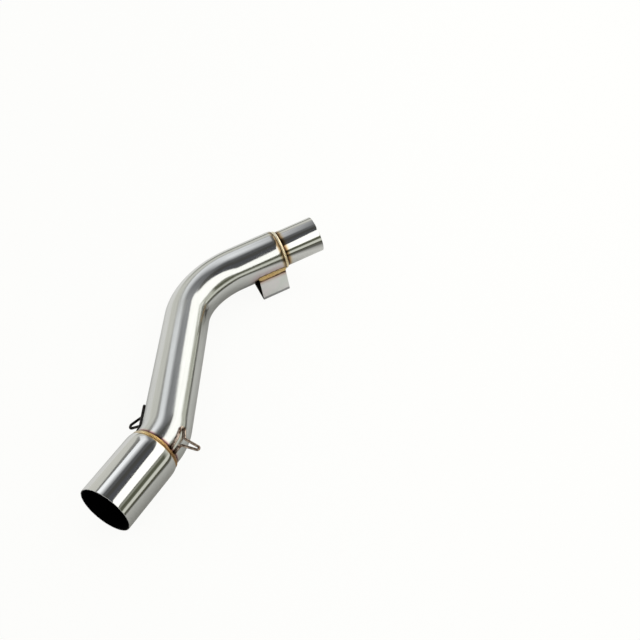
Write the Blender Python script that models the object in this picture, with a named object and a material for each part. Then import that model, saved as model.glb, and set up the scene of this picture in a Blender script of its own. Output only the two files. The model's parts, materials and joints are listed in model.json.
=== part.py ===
# Exhaust mid pipe: a bent steel tube with a wide outlet sleeve welded on one end,
# a narrow inlet spigot on the other, two wire spring hooks and a folded hanger bracket.
# Metres, +Z up. The pipe is drawn with its centreline in the XY plane, the sleeve's
# mouth at the origin and its axis along +Y. At the end it is laid down on the floor.

import math

import bmesh
import bpy
from mathutils import Matrix, Vector

# Clearances
fit_gap = 0.0003

# Main tube
tube_diameter = 0.045
tube_wall = 0.0015
tube_insert = 0.008
first_run = 0.007
first_bend_radius = 0.040
first_bend_angle = math.radians(-30)
middle_run = 0.150
second_bend_radius = 0.075
second_bend_angle = math.radians(66)
last_run = 0.050
neck_length = 0.005

# Outlet sleeve: its lip fits round the tube, and its flare widens it from there to
# 50.8 mm across
sleeve_flare = 0.0014
sleeve_wall = 0.0012
sleeve_length = 0.067
sleeve_shoulder = 0.009

# Inlet spigot: smaller than the tube by a step all round, which makes it 38.1 mm
# across. The tube's neck narrows to fit it.
spigot_step = 0.00345
spigot_wall = 0.0015
spigot_length = 0.0445
spigot_insert = 0.010

# Ring weld beads
sleeve_weld_width = 0.0042
sleeve_weld_height = 0.0018
spigot_weld_width = 0.0034
spigot_weld_height = 0.0016

# Hanger bracket: a strip folded to a V, its open edges welded to the tube. Its ends
# are cut on a slant, so that the back leaf stands nearer to the sleeve.
bracket_length = 0.030
bracket_setback = 0.0022
bracket_slant = 0.004
bracket_angle = math.radians(153)
bracket_spread = math.radians(68)
bracket_reach = 0.042
bracket_sheet = 0.0012
bracket_fold = 0.0012
bracket_weld_width = 0.003

# Fillet beads: how far the face bulges and how big the ends are, as shares of the
# width, and the length over which the ends thin out
bead_bulge = 0.3
bead_tip = 0.45
bead_taper = 0.006

# Spring hooks: one length of wire each, both feet welded on the tube. The straight
# leg stands off to its side by the leg gap at its top, and by less below it.
wire_diameter = 0.0022
wire_bend = 0.0019
leg_gap = 0.0044
leg_foot_spread = 0.3
leg_middle_spread = 0.6

# Each hook's place: the angle round the tube, measured from straight up towards +X,
# where its top, its knee and its loop's root lie along the tube, past the sleeve's
# end, how wide its loop is, and how far the loop stands out, leans back to the
# sleeve and leans sideways.
hooks = {
    "right": {
        "side": 1, "angle": math.radians(70), "top": 0.0200, "knee": 0.0155, "root": 0.0110,
        "loop": 0.0033, "rise": 0.0126, "back": 0.0041, "lean": 0.0084,
    },
    "left": {
        "side": -1, "angle": math.radians(-78), "top": 0.053, "knee": 0.0485, "root": 0.036,
        "loop": 0.0046, "rise": 0.0122, "back": 0.0118, "lean": 0.001,
    },
}

# Fineness of the round surfaces
round_sides = 36
shoulder_steps = 5
bead_sides = 48
bead_profile_steps = 8
fillet_steps = 4
fold_steps = 5
bend_step = math.radians(5)
wire_sides = 8
wire_bend_steps = 4
sharp_angle = math.radians(35)
join_distance = fit_gap / 10
corner_share = 0.48

tube_radius = tube_diameter / 2
lip_radius = tube_radius + fit_gap + sleeve_wall
sleeve_radius = lip_radius + sleeve_flare
spigot_radius = tube_radius - spigot_step
neck_radius = spigot_radius + fit_gap + tube_wall

up = Vector((0, 0, 1))


def clear_scene():
    for item in list(bpy.data.objects):
        bpy.data.objects.remove(item, do_unlink=True)


def steel(name, colour, roughness):
    material = bpy.data.materials.new(name)
    material.use_nodes = True
    shader = material.node_tree.nodes["Principled BSDF"]
    shader.inputs["Base Color"].default_value = (*colour, 1)
    shader.inputs["Roughness"].default_value = roughness
    shader.inputs["Metallic"].default_value = 1.0
    material.diffuse_color = (*colour, 1)
    return material


def place(name, bm, material, frame):
    bmesh.ops.recalc_face_normals(bm, faces=bm.faces)
    mesh = bpy.data.meshes.new(name)
    bm.to_mesh(mesh)
    bm.free()
    mesh.shade_smooth()
    mesh.set_sharp_from_angle(angle=sharp_angle)
    mesh.materials.append(material)
    piece = bpy.data.objects.new(name, mesh)
    bpy.context.collection.objects.link(piece)
    piece.parent = frame
    return piece


# The centreline

def centreline_runs():
    """The straight runs and bends of the centreline, from the sleeve's mouth on."""
    return [
        ("run", sleeve_length + first_run, 0),
        ("bend", first_bend_radius, first_bend_angle),
        ("run", middle_run, 0),
        ("bend", second_bend_radius, second_bend_angle),
        ("run", last_run, 0),
    ]


def run_length(kind, size, angle):
    return size if kind == "run" else size * abs(angle)


tube_end = sum(run_length(*run) for run in centreline_runs())


def on_centreline(distance):
    """The point and the direction at a distance along the centreline."""
    point = Vector((0, 0, 0))
    heading = 0.0
    left_over = distance
    runs = centreline_runs()
    for index, (kind, size, angle) in enumerate(runs):
        length = run_length(kind, size, angle)
        is_last = index == len(runs) - 1
        step = left_over if is_last else min(left_over, length)
        if kind == "run":
            point = point + Vector((math.sin(heading), math.cos(heading), 0)) * step
        else:
            turn = math.copysign(step / size, angle)
            radius = math.copysign(size, angle)
            point = point + Vector((
                radius * (math.cos(heading) - math.cos(heading + turn)),
                radius * (math.sin(heading + turn) - math.sin(heading)),
                0,
            ))
            heading += turn
        left_over -= step
        if left_over <= 0 and not is_last:
            break
    return point, Vector((math.sin(heading), math.cos(heading), 0))


def outward(distance, angle):
    """The direction away from the centreline, turned from up towards the right."""
    direction = on_centreline(distance)[1]
    right = direction.cross(up)
    return up * math.cos(angle) + right * math.sin(angle)


def beside_tube(distance, angle, lift):
    """A point that stands clear of the tube's skin by lift."""
    point = on_centreline(distance)[0]
    return point + outward(distance, angle) * (tube_radius + lift)


def ring_matrix(distance, radius=1.0):
    """Takes a unit circle to the ring of that radius round the centreline."""
    point, direction = on_centreline(distance)
    right = direction.cross(up)
    turn = Matrix((right, up, -direction)).transposed().to_4x4()
    return Matrix.Translation(point) @ turn @ Matrix.Scale(radius, 4)


def bend_stations(start, end):
    """Distances from start to end, close together only where the tube bends."""
    stations = [start]
    position = 0.0
    for kind, size, angle in centreline_runs():
        length = run_length(kind, size, angle)
        if kind == "bend":
            steps = max(2, round(abs(angle) / bend_step))
            for index in range(steps + 1):
                stations.append(position + length * index / steps)
        position += length
    stations.append(end)
    return [d for d in sorted(stations) if start <= d <= end]


# Hollow round pieces

def shell(name, outline, wall, material, frame):
    """A hollow round piece along the centreline: outline holds distance and radius.

    One ring is drawn out along the outside, turned in at the far end and drawn back
    along the inside, until it meets itself again.
    """
    inside = [(distance, radius - wall) for distance, radius in reversed(outline)]
    rings = outline + inside + outline[:1]
    bm = bmesh.new()
    placed = ring_matrix(*rings[0])
    made = bmesh.ops.create_circle(bm, segments=round_sides, radius=1, matrix=placed)
    verts = made["verts"]
    for ring in rings[1:]:
        loop = [edge for edge in bm.edges if all(vert in verts for vert in edge.verts)]
        grown = bmesh.ops.extrude_edge_only(bm, edges=loop)["geom"]
        verts = [item for item in grown if isinstance(item, bmesh.types.BMVert)]
        target = ring_matrix(*ring)
        bmesh.ops.transform(bm, matrix=target @ placed.inverted(), verts=verts)
        placed = target
    bmesh.ops.remove_doubles(bm, verts=bm.verts, dist=join_distance)
    return place(name, bm, material, frame)


def round_over(start, end, from_radius, to_radius):
    """A quarter round between two radii, level at the start and steepest at the end."""
    points = []
    for index in range(shoulder_steps + 1):
        turn = math.pi / 2 * index / shoulder_steps
        points.append((
            start + (end - start) * math.sin(turn),
            to_radius + (from_radius - to_radius) * math.cos(turn),
        ))
    return points


def make_sleeve(material, frame):
    shoulder = round_over(sleeve_length - sleeve_shoulder, sleeve_length,
                          sleeve_radius, lip_radius)
    return shell("outlet_sleeve", [(0, sleeve_radius)] + shoulder, sleeve_wall, material, frame)


def make_tube(material, frame):
    neck = round_over(tube_end - neck_length, tube_end, tube_radius, neck_radius)
    body = bend_stations(sleeve_length - tube_insert, tube_end - neck_length)[:-1]
    outline = [(distance, tube_radius) for distance in body] + neck
    return shell("main_tube", outline, tube_wall, material, frame)


def make_spigot(material, frame):
    outline = [(tube_end - spigot_insert, spigot_radius), (tube_end, spigot_radius),
               (tube_end + spigot_length, spigot_radius)]
    return shell("inlet_spigot", outline, spigot_wall, material, frame)


# Weld beads

def bead_profile(width, height):
    """A bead's cross-section: flat on its seat, with a domed back."""
    points = []
    for index in range(bead_profile_steps + 1):
        turn = math.pi * index / bead_profile_steps
        points.append((width / 2 * (1 - math.cos(turn)), height * math.sin(turn)))
    return points


def ring_bead(name, start, seat_radius, width, height, material, frame):
    """A bead round a pipe: its profile turned once about the centreline."""
    bm = bmesh.new()
    matrix = ring_matrix(start)
    verts = [bm.verts.new(matrix @ Vector((seat_radius + rise, 0, -along)))
             for along, rise in bead_profile(width, height)]
    edges = [bm.edges.new((a, b)) for a, b in zip(verts, verts[1:] + verts[:1])]
    axis = matrix.to_3x3() @ Vector((0, 0, 1))
    bmesh.ops.spin(bm, geom=verts + edges, cent=matrix.translation, axis=axis,
                   angle=math.tau, steps=bead_sides, use_merge=True)
    return place(name, bm, material, frame)


def make_ring_beads(material, frame):
    ring_bead("sleeve_weld_bead", sleeve_length + fit_gap, tube_radius + fit_gap,
              sleeve_weld_width, sleeve_weld_height, material, frame)
    ring_bead("spigot_weld_bead", tube_end + fit_gap, spigot_radius + fit_gap,
              spigot_weld_width, spigot_weld_height, material, frame)


def fillet_section(walls, width):
    """A fillet's cross-section: the corner, then its bulging face from wall to wall."""
    first, second = walls
    bulge = (first + second).normalized() * (width * bead_bulge)
    section = [Vector((0, 0, 0))]
    for step in range(fillet_steps + 1):
        part = step / fillet_steps
        section.append(first * (width * (1 - part)) + second * (width * part)
                       + bulge * (4 * part * (1 - part)))
    return section


def fillet_bead(name, corner, walls, length, along, width, material, frame):
    """A bead that fills the corner between two walls and thins out at both ends."""
    bm = bmesh.new()
    loops = []
    for distance in (0, bead_taper / 2, bead_taper,
                     length - bead_taper, length - bead_taper / 2, length):
        from_end = min(distance, length - distance, bead_taper)
        size = bead_tip + (1 - bead_tip) * math.sin(math.pi / 2 * from_end / bead_taper)
        origin = corner + along * distance
        verts = [bm.verts.new(origin + offset * size) for offset in fillet_section(walls, width)]
        loops.append([bm.edges.new(pair) for pair in zip(verts, verts[1:] + verts[:1])])
        if from_end == 0:
            bm.faces.new(verts)
    for start, end in zip(loops, loops[1:]):
        bmesh.ops.bridge_loops(bm, edges=start + end)
    return place(name, bm, material, frame)


# Hanger bracket

def bracket_section():
    """The V across the tube: corners as sideways and outward sizes, and its half angle.

    The leaf's outer face runs from its foot on the tube, tangent to the fold's round.
    """
    seat = tube_radius + fit_gap
    half = seat * math.sin(bracket_spread / 2)
    foot = seat * math.cos(bracket_spread / 2)
    outer_fold = bracket_fold + bracket_sheet
    fold_centre = bracket_reach - outer_fold
    from_foot = math.hypot(half, fold_centre - foot)
    half_angle = math.atan2(half, fold_centre - foot) - math.asin(outer_fold / from_foot)
    tip = fold_centre + outer_fold / math.sin(half_angle)
    inner_half = half - bracket_sheet / math.cos(half_angle)
    inner_foot = math.sqrt(seat ** 2 - inner_half ** 2)
    inner_tip = tip - bracket_sheet / math.sin(half_angle)
    return half, foot, tip, inner_half, inner_foot, inner_tip, half_angle


def bracket_frame():
    """Where the front leaf starts, and the V's own directions."""
    start = tube_end - bracket_setback - bracket_length
    point, direction = on_centreline(start)
    out = outward(start, bracket_angle)
    side = out.cross(direction)
    return point, direction, out, side


def bracket_corner(x, y):
    """A corner of the V at its sleeve end, which the slant takes back with its side."""
    point, direction, out, side = bracket_frame()
    half = bracket_section()[0]
    return point + side * x + out * y - direction * (bracket_slant * (half - x) / (2 * half))


def make_bracket(material, frame):
    half, foot, tip, inner_half, inner_foot, inner_tip, half_angle = bracket_section()
    direction = bracket_frame()[1]
    corners = [(half, foot), (0, tip), (-half, foot),
               (-inner_half, inner_foot), (0, inner_tip), (inner_half, inner_foot)]
    bm = bmesh.new()
    face = bm.faces.new([bm.verts.new(bracket_corner(x, y)) for x, y in corners])
    made = bmesh.ops.extrude_face_region(bm, geom=[face])
    moved = [item for item in made["geom"] if isinstance(item, bmesh.types.BMVert)]
    bmesh.ops.translate(bm, verts=moved, vec=direction * bracket_length)
    for height, radius in ((inner_tip, bracket_fold), (tip, bracket_fold + bracket_sheet)):
        spot = bracket_corner(0, height)
        fold = [edge for edge in bm.edges
                if all((vert.co - spot).cross(direction).length < join_distance
                       for vert in edge.verts)]
        bmesh.ops.bevel(bm, geom=fold, offset=radius / math.tan(half_angle),
                        segments=fold_steps, profile=0.5, affect="EDGES", material=-1)
    return place("hanger_bracket", bm, material, frame)


def make_bracket_beads(material, frame):
    half, foot, tip = bracket_section()[:3]
    direction, out, side = bracket_frame()[1:]
    for name, hand in (("bracket_weld_front", 1), ("bracket_weld_back", -1)):
        sideways = side * hand
        leg = (out * (tip - foot) - sideways * half).normalized()
        skin = (sideways * foot - out * half).normalized()
        seat = (leg + skin).normalized() * (fit_gap / math.sin(leg.angle(skin) / 2))
        fillet_bead(name, bracket_corner(half * hand, foot) + seat, (leg, skin),
                    bracket_length, direction, bracket_weld_width, material, frame)


# Spring hooks

def rounded_path(corners, radius):
    """The path through the corners, each corner turned as an arc of the given radius."""
    path = [corners[0]]
    for before, corner, after in zip(corners, corners[1:], corners[2:]):
        back = (before - corner).normalized()
        on = (after - corner).normalized()
        half_turn = back.angle(on) / 2
        room = min((before - corner).length, (after - corner).length) * corner_share
        cut = min(radius / math.tan(half_turn), room)
        centre = corner + (back + on).normalized() * (cut / math.cos(half_turn))
        start = corner + back * cut - centre
        axis = start.cross(corner + on * cut - centre).normalized()
        sweep = math.pi - 2 * half_turn
        for index in range(wire_bend_steps + 1):
            turn = Matrix.Rotation(sweep * index / wire_bend_steps, 3, axis)
            path.append(centre + turn @ start)
    path.append(corners[-1])
    return path


def hook_corners(place_of):
    lift = wire_diameter / 2 + fit_gap
    side = place_of["side"]
    angle = place_of["angle"]
    leg = side * leg_gap / (tube_radius + lift)
    foot = sleeve_length + sleeve_weld_width + 2 * fit_gap
    top, knee, root = (sleeve_length + place_of[key] for key in ("top", "knee", "root"))
    near_knee = beside_tube(knee, angle + leg, lift)
    out = outward(knee, angle + leg)
    direction = on_centreline(knee)[1]
    sideways = outward(knee, angle + leg + side * math.pi / 2)
    tip = (near_knee + out * place_of["rise"] - direction * place_of["back"]
           + sideways * place_of["lean"])
    half_loop = direction * (place_of["loop"] / 2)
    return [
        beside_tube(foot, angle - leg * leg_foot_spread, lift),
        beside_tube((foot + top) / 2, angle - leg * leg_middle_spread, lift),
        beside_tube(top, angle - leg, lift),
        beside_tube(top, angle, lift),
        near_knee,
        tip + half_loop,
        tip - half_loop,
        beside_tube(root, angle + leg, lift),
        beside_tube(foot, angle + leg, lift),
    ]


def make_hook(name, place_of, material, frame):
    path = rounded_path(hook_corners(place_of), wire_bend)
    curve = bpy.data.curves.new(name, "CURVE")
    curve.dimensions = "3D"
    curve.bevel_depth = wire_diameter / 2
    curve.bevel_resolution = (wire_sides - 4) // 2
    curve.use_fill_caps = True
    spline = curve.splines.new("POLY")
    spline.points.add(len(path) - 1)
    for spot, point in zip(spline.points, path):
        spot.co = (*point, 1)
    curve.materials.append(material)
    hook = bpy.data.objects.new(name, curve)
    bpy.context.collection.objects.link(hook)
    hook.parent = frame
    return hook


# Laying the pipe down

def solid_sums(piece, graph):
    """A piece's corners in the pipe's frame, its volume and its first moment."""
    evaluated = piece.evaluated_get(graph)
    mesh = evaluated.to_mesh()
    mesh.calc_loop_triangles()
    corners = [vert.co.copy() for vert in mesh.vertices]
    volume = 0.0
    moment = Vector((0, 0, 0))
    for triangle in mesh.loop_triangles:
        a, b, c = (corners[index] for index in triangle.vertices)
        part = a.dot(b.cross(c)) / 6
        volume += part
        moment += (a + b + c) * (part / 4)
    evaluated.to_mesh_clear()
    return corners, volume, moment


def resting_side(points, centre):
    """The hull's side, nearest to facing down, that the pipe rests on without rolling."""
    bm = bmesh.new()
    for point in points:
        bm.verts.new(point)
    bmesh.ops.convex_hull(bm, input=bm.verts)
    best = None
    for face in bm.faces:
        normal = face.normal if (face.calc_center_median() - centre).dot(face.normal) > 0 \
            else -face.normal
        drop = (face.verts[0].co - centre).dot(normal)
        foot = centre + normal * drop
        signs = []
        for loop in face.loops:
            start = loop.vert.co
            edge = loop.link_loop_next.vert.co - start
            signs.append(edge.cross(foot - start).dot(normal))
        inside = all(sign >= 0 for sign in signs) or all(sign <= 0 for sign in signs)
        if inside and (best is None or normal.dot(up) < best.dot(up)):
            best = normal.copy()
    bm.free()
    return best


def lay_down(frame, pieces):
    """Turn the pipe onto its resting side, its middle over the origin."""
    bpy.context.view_layer.update()
    graph = bpy.context.evaluated_depsgraph_get()
    points = []
    volume = 0.0
    moment = Vector((0, 0, 0))
    for piece in pieces:
        corners, part, part_moment = solid_sums(piece, graph)
        points += corners
        volume += part
        moment += part_moment
    turn = resting_side(points, moment / volume).rotation_difference(-up).to_matrix()
    axis = turn @ Vector((0, 1, 0))
    turn = Matrix.Rotation(math.atan2(axis.x, axis.y), 3, "Z") @ turn
    turned = [turn @ point for point in points]
    low = Vector([min(point[i] for point in turned) for i in range(3)])
    high = Vector([max(point[i] for point in turned) for i in range(3)])
    shift = Vector((-(low.x + high.x) / 2, -(low.y + high.y) / 2, -low.z))
    frame.matrix_world = Matrix.Translation(shift) @ turn.to_4x4()


def build():
    clear_scene()
    frame = bpy.data.objects.new("pipe_frame", None)
    bpy.context.collection.objects.link(frame)
    brushed = steel("brushed_stainless", (0.60, 0.60, 0.57), 0.32)
    polished = steel("polished_stainless", (0.66, 0.65, 0.63), 0.14)
    satin = steel("satin_sheet", (0.62, 0.62, 0.60), 0.42)
    gold = steel("heat_tinted_weld", (0.62, 0.42, 0.17), 0.3)
    dark = steel("dark_spring_wire", (0.22, 0.19, 0.17), 0.28)
    make_sleeve(polished, frame)
    make_tube(brushed, frame)
    make_spigot(polished, frame)
    make_ring_beads(gold, frame)
    make_bracket(satin, frame)
    make_bracket_beads(gold, frame)
    for name, place_of in hooks.items():
        make_hook("spring_hook_" + name, place_of, dark, frame)
    lay_down(frame, [item for item in bpy.data.objects if item.type != "EMPTY"])


build()
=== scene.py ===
import json
import math

import bmesh
import bpy
from mathutils import Matrix, Vector, kdtree, noise


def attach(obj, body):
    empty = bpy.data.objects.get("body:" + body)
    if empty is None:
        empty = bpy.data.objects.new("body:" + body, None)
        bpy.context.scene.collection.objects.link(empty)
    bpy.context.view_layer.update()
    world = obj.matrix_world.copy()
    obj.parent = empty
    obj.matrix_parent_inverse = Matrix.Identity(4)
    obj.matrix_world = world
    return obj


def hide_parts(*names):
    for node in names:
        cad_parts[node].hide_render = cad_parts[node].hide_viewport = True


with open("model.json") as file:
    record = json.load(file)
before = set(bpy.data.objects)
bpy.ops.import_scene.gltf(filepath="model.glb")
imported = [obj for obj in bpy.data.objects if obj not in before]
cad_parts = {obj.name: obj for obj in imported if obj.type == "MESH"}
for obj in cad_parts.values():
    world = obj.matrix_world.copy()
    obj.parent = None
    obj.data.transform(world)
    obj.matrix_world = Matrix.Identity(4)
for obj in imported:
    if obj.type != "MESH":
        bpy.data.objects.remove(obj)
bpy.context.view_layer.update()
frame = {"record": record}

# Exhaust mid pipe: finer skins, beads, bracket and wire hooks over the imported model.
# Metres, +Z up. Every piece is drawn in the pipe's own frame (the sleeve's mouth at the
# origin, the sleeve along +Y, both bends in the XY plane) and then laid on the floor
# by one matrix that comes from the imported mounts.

pipe = {
    "sleeveLength": 0.067, "sleeveRadius": 0.0254, "sleeveWall": 0.0012,
    "shoulder": 0.009, "lipRadius": 0.024,
    "tubeRadius": 0.0225, "tubeWall": 0.0015, "tubeInsert": 0.008,
    "firstRun": 0.007, "firstBend": 0.040, "firstTurn": math.radians(-30),
    "middleRun": 0.150, "secondBend": 0.075, "secondTurn": math.radians(66),
    "lastRun": 0.050, "neck": 0.005, "neckRadius": 0.02085,
    "spigotRadius": 0.01905, "spigotWall": 0.0015, "spigotLength": 0.0445,
    "spigotInsert": 0.010,
    "rimRound": 0.0003, "rimSteps": 4, "sides": 160, "stationStep": 0.002, "spigotStep": 0.0012,
    "shoulderSteps": 24, "neckSteps": 20,
}

up = Vector((0, 0, 1))


# Where the pipe lies

def pipeFrame(mounts):
    along = -Vector(mounts["sleeve_rim"]["axis"]).normalized()
    spigotWay = Vector(mounts["spigot_rim"]["axis"]).normalized()
    right = (spigotWay - along * along.dot(spigotWay)).normalized()
    upward = right.cross(along)
    rimMiddle = pipe["sleeveRadius"] - pipe["sleeveWall"] / 2
    mouth = Vector(mounts["sleeve_rim"]["pos_m"]) - upward * rimMiddle
    turn = Matrix((right, along, upward)).transposed()
    return Matrix.Translation(mouth) @ turn.to_4x4()


laid = pipeFrame({mount["name"]: mount for mount in frame["record"]["mounts"]})


# The centreline

runs = [
    ("run", pipe["sleeveLength"] + pipe["firstRun"], 0),
    ("bend", pipe["firstBend"], pipe["firstTurn"]),
    ("run", pipe["middleRun"], 0),
    ("bend", pipe["secondBend"], pipe["secondTurn"]),
    ("run", pipe["lastRun"], 0),
]


def runLength(kind, size, turn):
    return size if kind == "run" else size * abs(turn)


tubeEnd = sum(runLength(*item) for item in runs)
pipeEnd = tubeEnd + pipe["spigotLength"]


def onRoute(distance):
    point = Vector((0, 0, 0))
    heading = 0.0
    leftOver = distance
    for index, (kind, size, turn) in enumerate(runs):
        isLast = index == len(runs) - 1
        step = leftOver if isLast else min(leftOver, runLength(kind, size, turn))
        if kind == "run":
            point = point + Vector((math.sin(heading), math.cos(heading), 0)) * step
        else:
            radius = math.copysign(size, turn)
            swept = step / radius
            point = point + Vector((
                radius * (math.cos(heading) - math.cos(heading + swept)),
                radius * (math.sin(heading + swept) - math.sin(heading)),
                0,
            ))
            heading += swept
        leftOver -= step
        if leftOver <= 0 and not isLast:
            break
    return point, Vector((math.sin(heading), math.cos(heading), 0))


def outward(distance, angle):
    right = onRoute(distance)[1].cross(up)
    return up * math.cos(angle) + right * math.sin(angle)


def besideTube(distance, angle, lift):
    return onRoute(distance)[0] + outward(distance, angle) * (pipe["tubeRadius"] + lift)


def ringMatrix(distance, radius=1.0):
    # turns a unit circle into the ring round the centreline
    point, way = onRoute(distance)
    turn = Matrix((way.cross(up), up, -way)).transposed().to_4x4()
    return Matrix.Translation(point) @ turn @ Matrix.Scale(radius, 4)


# Mesh helpers

def newPiece(name, bm, material):
    mesh = bpy.data.meshes.new(name)
    bm.to_mesh(mesh)
    bm.free()
    mesh.materials.append(material)
    piece = bpy.data.objects.new(name, mesh)
    bpy.context.scene.collection.objects.link(piece)
    return piece


def finish(name, bm, material, node):
    bm.transform(laid)
    piece = newPiece(name, bm, material)
    piece.data.shade_smooth()
    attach(piece, "root")
    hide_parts(node)
    return piece


def newVerts(made):
    return [item for item in made["geom"] if isinstance(item, bmesh.types.BMVert)]


def ringEdges(made, verts):
    ring = set(verts)
    return [item for item in made["geom"]
            if isinstance(item, bmesh.types.BMEdge) and set(item.verts) <= ring]


def spaced(start, end, step):
    count = max(1, round((end - start) / step))
    return [start + (end - start) * index / count for index in range(count + 1)]


def quarter(start, end, fromRadius, toRadius, steps):
    points = []
    for index in range(steps + 1):
        turn = math.pi / 2 * index / steps
        points.append((start + (end - start) * math.sin(turn),
                       toRadius + (fromRadius - toRadius) * math.cos(turn)))
    return points


def shellRings(outside, wall):
    # outside, far rim, inside and near rim as one closed line of (distance, radius)
    soft, steps = pipe["rimRound"], pipe["rimSteps"]
    (start, first), (end, last) = outside[0], outside[-1]
    rounds = [math.pi / 2 * index / steps for index in range(steps + 1)]
    near = [(start + soft * (1 - math.sin(turn)), first - soft * (1 - math.cos(turn)))
            for turn in reversed(rounds)]
    far = [(end - soft * (1 - math.sin(turn)), last - soft * (1 - math.cos(turn)))
           for turn in rounds]
    middle = [(d, r) for d, r in outside if start + soft < d < end - soft]
    farInside = [(d, 2 * last - wall - r) for d, r in reversed(far)]
    nearInside = [(d, 2 * first - wall - r) for d, r in reversed(near)]
    inside = [(d, r - wall) for d, r in reversed(middle)]
    return near + middle + far + farInside + inside + nearInside


def drawnShell(outside, wall):
    # one ring drawn along the pipe, out and back, until it meets itself
    rings = shellRings(outside, wall)
    bm = bmesh.new()
    straight = bm.verts.layers.float_vector.new("straight")
    # inner faces, which the finishes paint near black as painted shade
    inner = bm.verts.layers.float.new("inner")
    placed = ringMatrix(*rings[0])
    made = bmesh.ops.create_circle(bm, segments=pipe["sides"], radius=1, matrix=placed)
    verts = made["verts"]
    edges = list(bm.edges)
    turnedIn = len(rings) // 2
    for index, ring in enumerate(rings[1:] + rings[:1], 1):
        grown = bmesh.ops.extrude_edge_only(bm, edges=edges)
        verts = newVerts(grown)
        edges = ringEdges(grown, verts)
        target = ringMatrix(*ring)
        bmesh.ops.transform(bm, matrix=target @ placed.inverted(), verts=verts)
        placed = target
        flat = target.inverted()
        for vert in verts:
            spot = flat @ vert.co
            vert[straight] = (spot.x * ring[1], spot.y * ring[1], ring[0])
            vert[inner] = 1.0 if index > turnedIn else 0.0
    bmesh.ops.remove_doubles(bm, verts=bm.verts, dist=1e-6)
    bmesh.ops.recalc_face_normals(bm, faces=bm.faces)
    return bm


# Shader helpers

class Shade:
    # wraps one socket, so that shader maths reads as a plain sum

    def __init__(self, tree, socket=None):
        self.tree = tree
        self.socket = socket

    def node(self, kind, settings, values, output=0):
        made = self.tree.nodes.new("ShaderNode" + kind)
        for name, value in settings.items():
            if name == "stops":
                elements = made.color_ramp.elements
                while len(elements) < len(value):
                    elements.new(0.5)
                for element, (position, colour) in zip(elements, value):
                    element.position = position
                    element.color = (*colour, 1)
            else:
                setattr(made, name, value)
        for name, value in values.items():
            if isinstance(value, Shade):
                self.tree.links.new(value.socket, made.inputs[name])
            else:
                made.inputs[name].default_value = value
        return Shade(self.tree, made.outputs[output])

    def sums(self, operation, first, second):
        return self.node("Math", {"operation": operation}, {0: first, 1: second})

    def __add__(self, other):
        return self.sums("ADD", self, other)

    def __radd__(self, other):
        return self.sums("ADD", other, self)

    def __sub__(self, other):
        return self.sums("SUBTRACT", self, other)

    def __rsub__(self, other):
        return self.sums("SUBTRACT", other, self)

    def __mul__(self, other):
        return self.sums("MULTIPLY", self, other)

    def __rmul__(self, other):
        return self.sums("MULTIPLY", other, self)

    def ramp(self, *stops):
        return self.node("ValToRGB", {"stops": stops}, {0: self})

    def between(self, low, high, start=0.0, end=1.0):
        # start at low, end at high, held beyond them
        return self.node("MapRange", {"clamp": True}, {0: self, 1: low, 2: high, 3: start, 4: end})

    def mix(self, first, second):
        # self is how much of the second colour shows
        return self.node("Mix", {"data_type": "RGBA"}, {0: self, 6: first, 7: second}, 2)


grainSpan = (0.3, 0.7)


def attribute(shade, name, vector=False):
    return shade.node("Attribute", {"attribute_name": name}, {}, 1 if vector else 2)


def stretched(shade, vector, scale):
    return shade.node("Mapping", {}, {"Vector": vector, "Scale": scale})


def grain(shade, vector, scale, detail=2.0, rough=0.5):
    return shade.node("TexNoise", {}, {"Vector": vector, "Scale": scale, "Detail": detail,
                                       "Roughness": rough})


def axes(shade, vector):
    outputs = shade.node("SeparateXYZ", {}, {0: vector}).socket.node.outputs
    return [Shade(shade.tree, outputs[index]) for index in range(3)]


def newMaterial(name):
    material = bpy.data.materials.new(name)
    material.use_nodes = True
    tree = material.node_tree
    shader = tree.nodes["Principled BSDF"]
    return material, Shade(tree), shader


def plug(shade, shader, name, value):
    if isinstance(value, Shade):
        shade.tree.links.new(value.socket, shader.inputs[name])
    else:
        shader.inputs[name].default_value = value


def rgb(*colour):
    return (*colour, 1.0)


black = rgb(0, 0, 0)


# Heat tints, and painted shade beside some welds, spread from the welds: each point of a skin knows
# how far off the nearest weld is

weldSpots = {"ringNear": [], "bracketNear": [], "hookNear": []}
toMillimetres = 1000


def markHeat(bm):
    for name, spots in weldSpots.items():
        tree = kdtree.KDTree(len(spots))
        for index, spot in enumerate(spots):
            tree.insert(spot, index)
        tree.balance()
        near = bm.verts.layers.float.new(name)
        for vert in bm.verts:
            vert[near] = tree.find(vert.co)[2] * toMillimetres


# Finishes

# the "inside" colour, near black, is painted shade in the bores
steel = {
    "brushed": (0.615, 0.62, 0.60), "polished": (0.64, 0.64, 0.62), "inside": (0.004, 0.004, 0.004),
    "insideRough": 0.5, "lineScale": 900, "lineStretch": 0.03, "lineRough": (0.85, 1.15),
    "cloudScale": 60, "cloudSpan": (0.4, 0.7), "cloudRough": 0.03, "wanderScale": 160,
    "wander": 0.35, "hazeFadesFrom": 0.45, "farEnd": (0.2, 0.25),
    "bump": {"Strength": 0.02, "Distance": 0.0002},
}


def haze(near, wander, reach, stops, colour):
    # heat colours, in some hazes with painted shade, that fade out over the reach, in millimetres from
    # the weld
    share = (near + (wander - 0.5) * (reach * steel["wander"])) * (1 / reach)
    return share.between(steel["hazeFadesFrom"], 1.0, 1.0, 0.0).mix(colour, share.ramp(*stops))


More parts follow.
